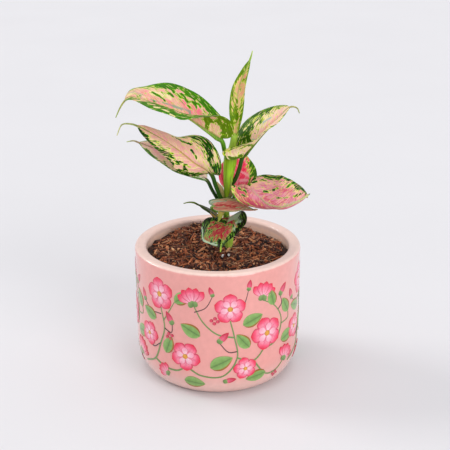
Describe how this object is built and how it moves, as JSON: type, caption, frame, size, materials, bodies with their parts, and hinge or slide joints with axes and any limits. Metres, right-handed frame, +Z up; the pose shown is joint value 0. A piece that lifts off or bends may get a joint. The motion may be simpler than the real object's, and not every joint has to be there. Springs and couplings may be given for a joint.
{
  "type": "potted aglaonema",
  "caption": "Young variegated aglaonema with pink and green pointed leaves on short petioles, standing in potting mix in a round glazed cup planter.",
  "frame": {"origin": "middle of the planter's flat base, on the surface it rests on", "axes": "+Z up along the planter's axis, -Y towards the viewer, +X to the viewer's right"},
  "size_m": [0.1344, 0.12, 0.2364],
  "materials": {
    "planter": "soft pink glaze, shiny on the wall and satin cream at the rim",
    "potting_mix": "dark moist coir and husk chips",
    "cane": "smooth fresh green stem",
    "leaf": "waxy leaf, pink with green and cream flecks"
  },
  "bodies": {
    "root": {"pot": "planter", "soil": "potting_mix", "stem": "cane", "leaf_spear": "leaf", "leaf_upper_left": "leaf", "leaf_mid_left": "leaf", "leaf_low_left": "leaf", "leaf_upper_right": "leaf", "leaf_back": "leaf", "leaf_front_right": "leaf", "leaf_low_centre": "leaf", "leaf_thin_left": "leaf", "leaf_bottom_front": "leaf"}
  },
  "joints": []
}
